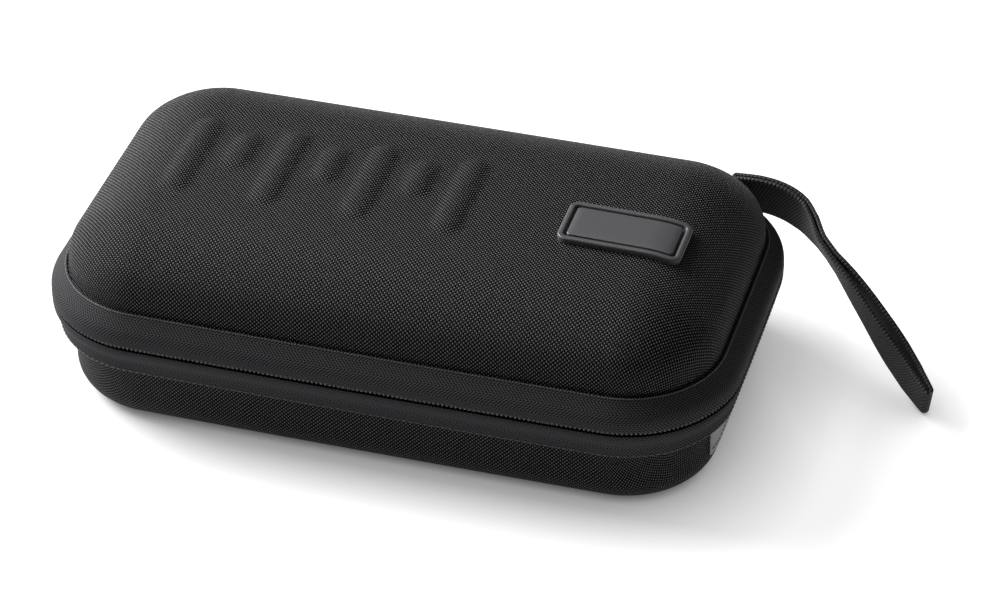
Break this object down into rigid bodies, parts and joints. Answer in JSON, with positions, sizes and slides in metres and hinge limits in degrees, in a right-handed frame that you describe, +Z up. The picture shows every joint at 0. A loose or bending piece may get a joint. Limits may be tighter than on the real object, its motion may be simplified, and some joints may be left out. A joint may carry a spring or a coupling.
{
  "type": "microphone case",
  "caption": "Soft-shell zip case for a microphone: rounded box with moulded foam halves under woven cover, fabric hinge, coil zip, bare badge and wrist strap.",
  "frame": {"origin": "on the floor under the middle of the case's belt, where the base rests", "axes": "+X along the case towards the end with the wrist strap, +Y towards the hinge, +Z up through the lid"},
  "size_m": [0.2952, 0.14, 0.0722],
  "materials": {
    "woven_nylon": "coarse plain weave, slight sheen",
    "eva_foam": "closed-cell foam, matte",
    "lining": "brushed tricot, matte",
    "binding": "grosgrain ribbon",
    "insert_foam": "cut foam, matte",
    "zip_tape": "herringbone woven polyester",
    "zip_coil": "polyester monofilament",
    "zip_metal": "black lacquered zinc, satin",
    "hinge_fabric": "coarse plain weave",
    "grey_rubber": "moulded, satin",
    "badge_rubber": "moulded, satin",
    "badge_panel": "moulded, matte",
    "webbing": "ribbed nylon webbing"
  },
  "bodies": {
    "base": {"base_shell": "eva_foam", "base_cover": "woven_nylon", "base_lining": "lining", "base_binding": "binding", "insert_floor": "insert_foam", "insert_front": "insert_foam", "insert_back": "insert_foam", "lower_zip_tape": "zip_tape", "lower_coil": "zip_coil", "lower_end_stops": "zip_metal", "hinge_strip_lower": "hinge_fabric", "end_strip": "grey_rubber"},
    "lid": {"lid_shell": "eva_foam", "lid_cover": "woven_nylon", "lid_lining": "lining", "lid_binding": "binding", "lid_foam_pad": "insert_foam", "upper_zip_tape": "zip_tape", "upper_coil": "zip_coil", "upper_end_stops": "zip_metal", "hinge_strip_upper": "hinge_fabric", "badge_frame": "badge_rubber", "badge_panel": "badge_panel"},
    "slider": {"zip_slider": "zip_metal"},
    "pull": {"zip_pull": "zip_metal"},
    "strap": {"wrist_strap": "webbing"}
  },
  "joints": [
    {"name": "lid_hinge", "type": "hinge", "parent": "base", "child": "lid", "pos_m": [0, 0.0683, 0.036], "axis": [-1, 0, 0], "range_deg": [0, 175]},
    {"name": "slider_travel", "type": "hinge", "parent": "base", "child": "slider", "pos_m": [-0.082, 0.03, 0.036], "axis": [0, 0, 1], "range_deg": [0, 30]},
    {"name": "pull_swing", "type": "hinge", "parent": "slider", "child": "pull", "pos_m": [-0.11471, 0.05745, 0.036], "axis": [0.6428, 0.766, 0], "range_deg": [-8, 170]},
    {"name": "strap_swing", "type": "hinge", "parent": "lid", "child": "strap", "pos_m": [0.09573, 0.06773, 0.045], "axis": [0, 0, 1], "range_deg": [-20, 15]}
  ]
}
